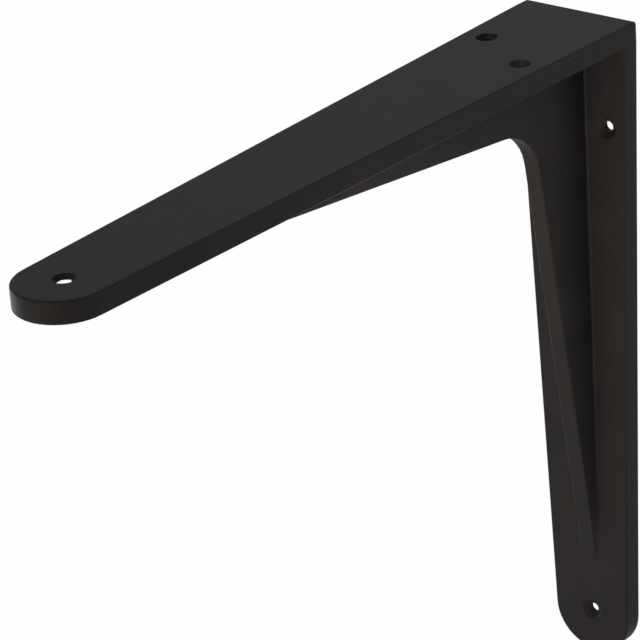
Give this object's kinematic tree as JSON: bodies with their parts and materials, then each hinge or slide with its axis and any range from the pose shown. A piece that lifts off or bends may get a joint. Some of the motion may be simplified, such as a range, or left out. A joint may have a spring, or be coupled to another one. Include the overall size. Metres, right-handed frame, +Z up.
{
  "type": "shelf bracket",
  "caption": "Right-angled cast shelf bracket: tapered arm and leg with round tips and hollow outer backs, joined by a thin arched web.",
  "frame": {"origin": "where the wall plane, the shelf plane and the bracket's middle plane meet, at the outer corner", "axes": "+X across the width, +Y into the wall, +Z up towards the shelf; the arm reaches out along -Y and the leg down along -Z"},
  "size_m": [0.0414, 0.25, 0.225],
  "materials": {
    "black_coating": "satin black powder coating with a fine orange-peel texture, on cast aluminium"
  },
  "bodies": {
    "root": {"bracket": "black_coating"}
  },
  "joints": []
}
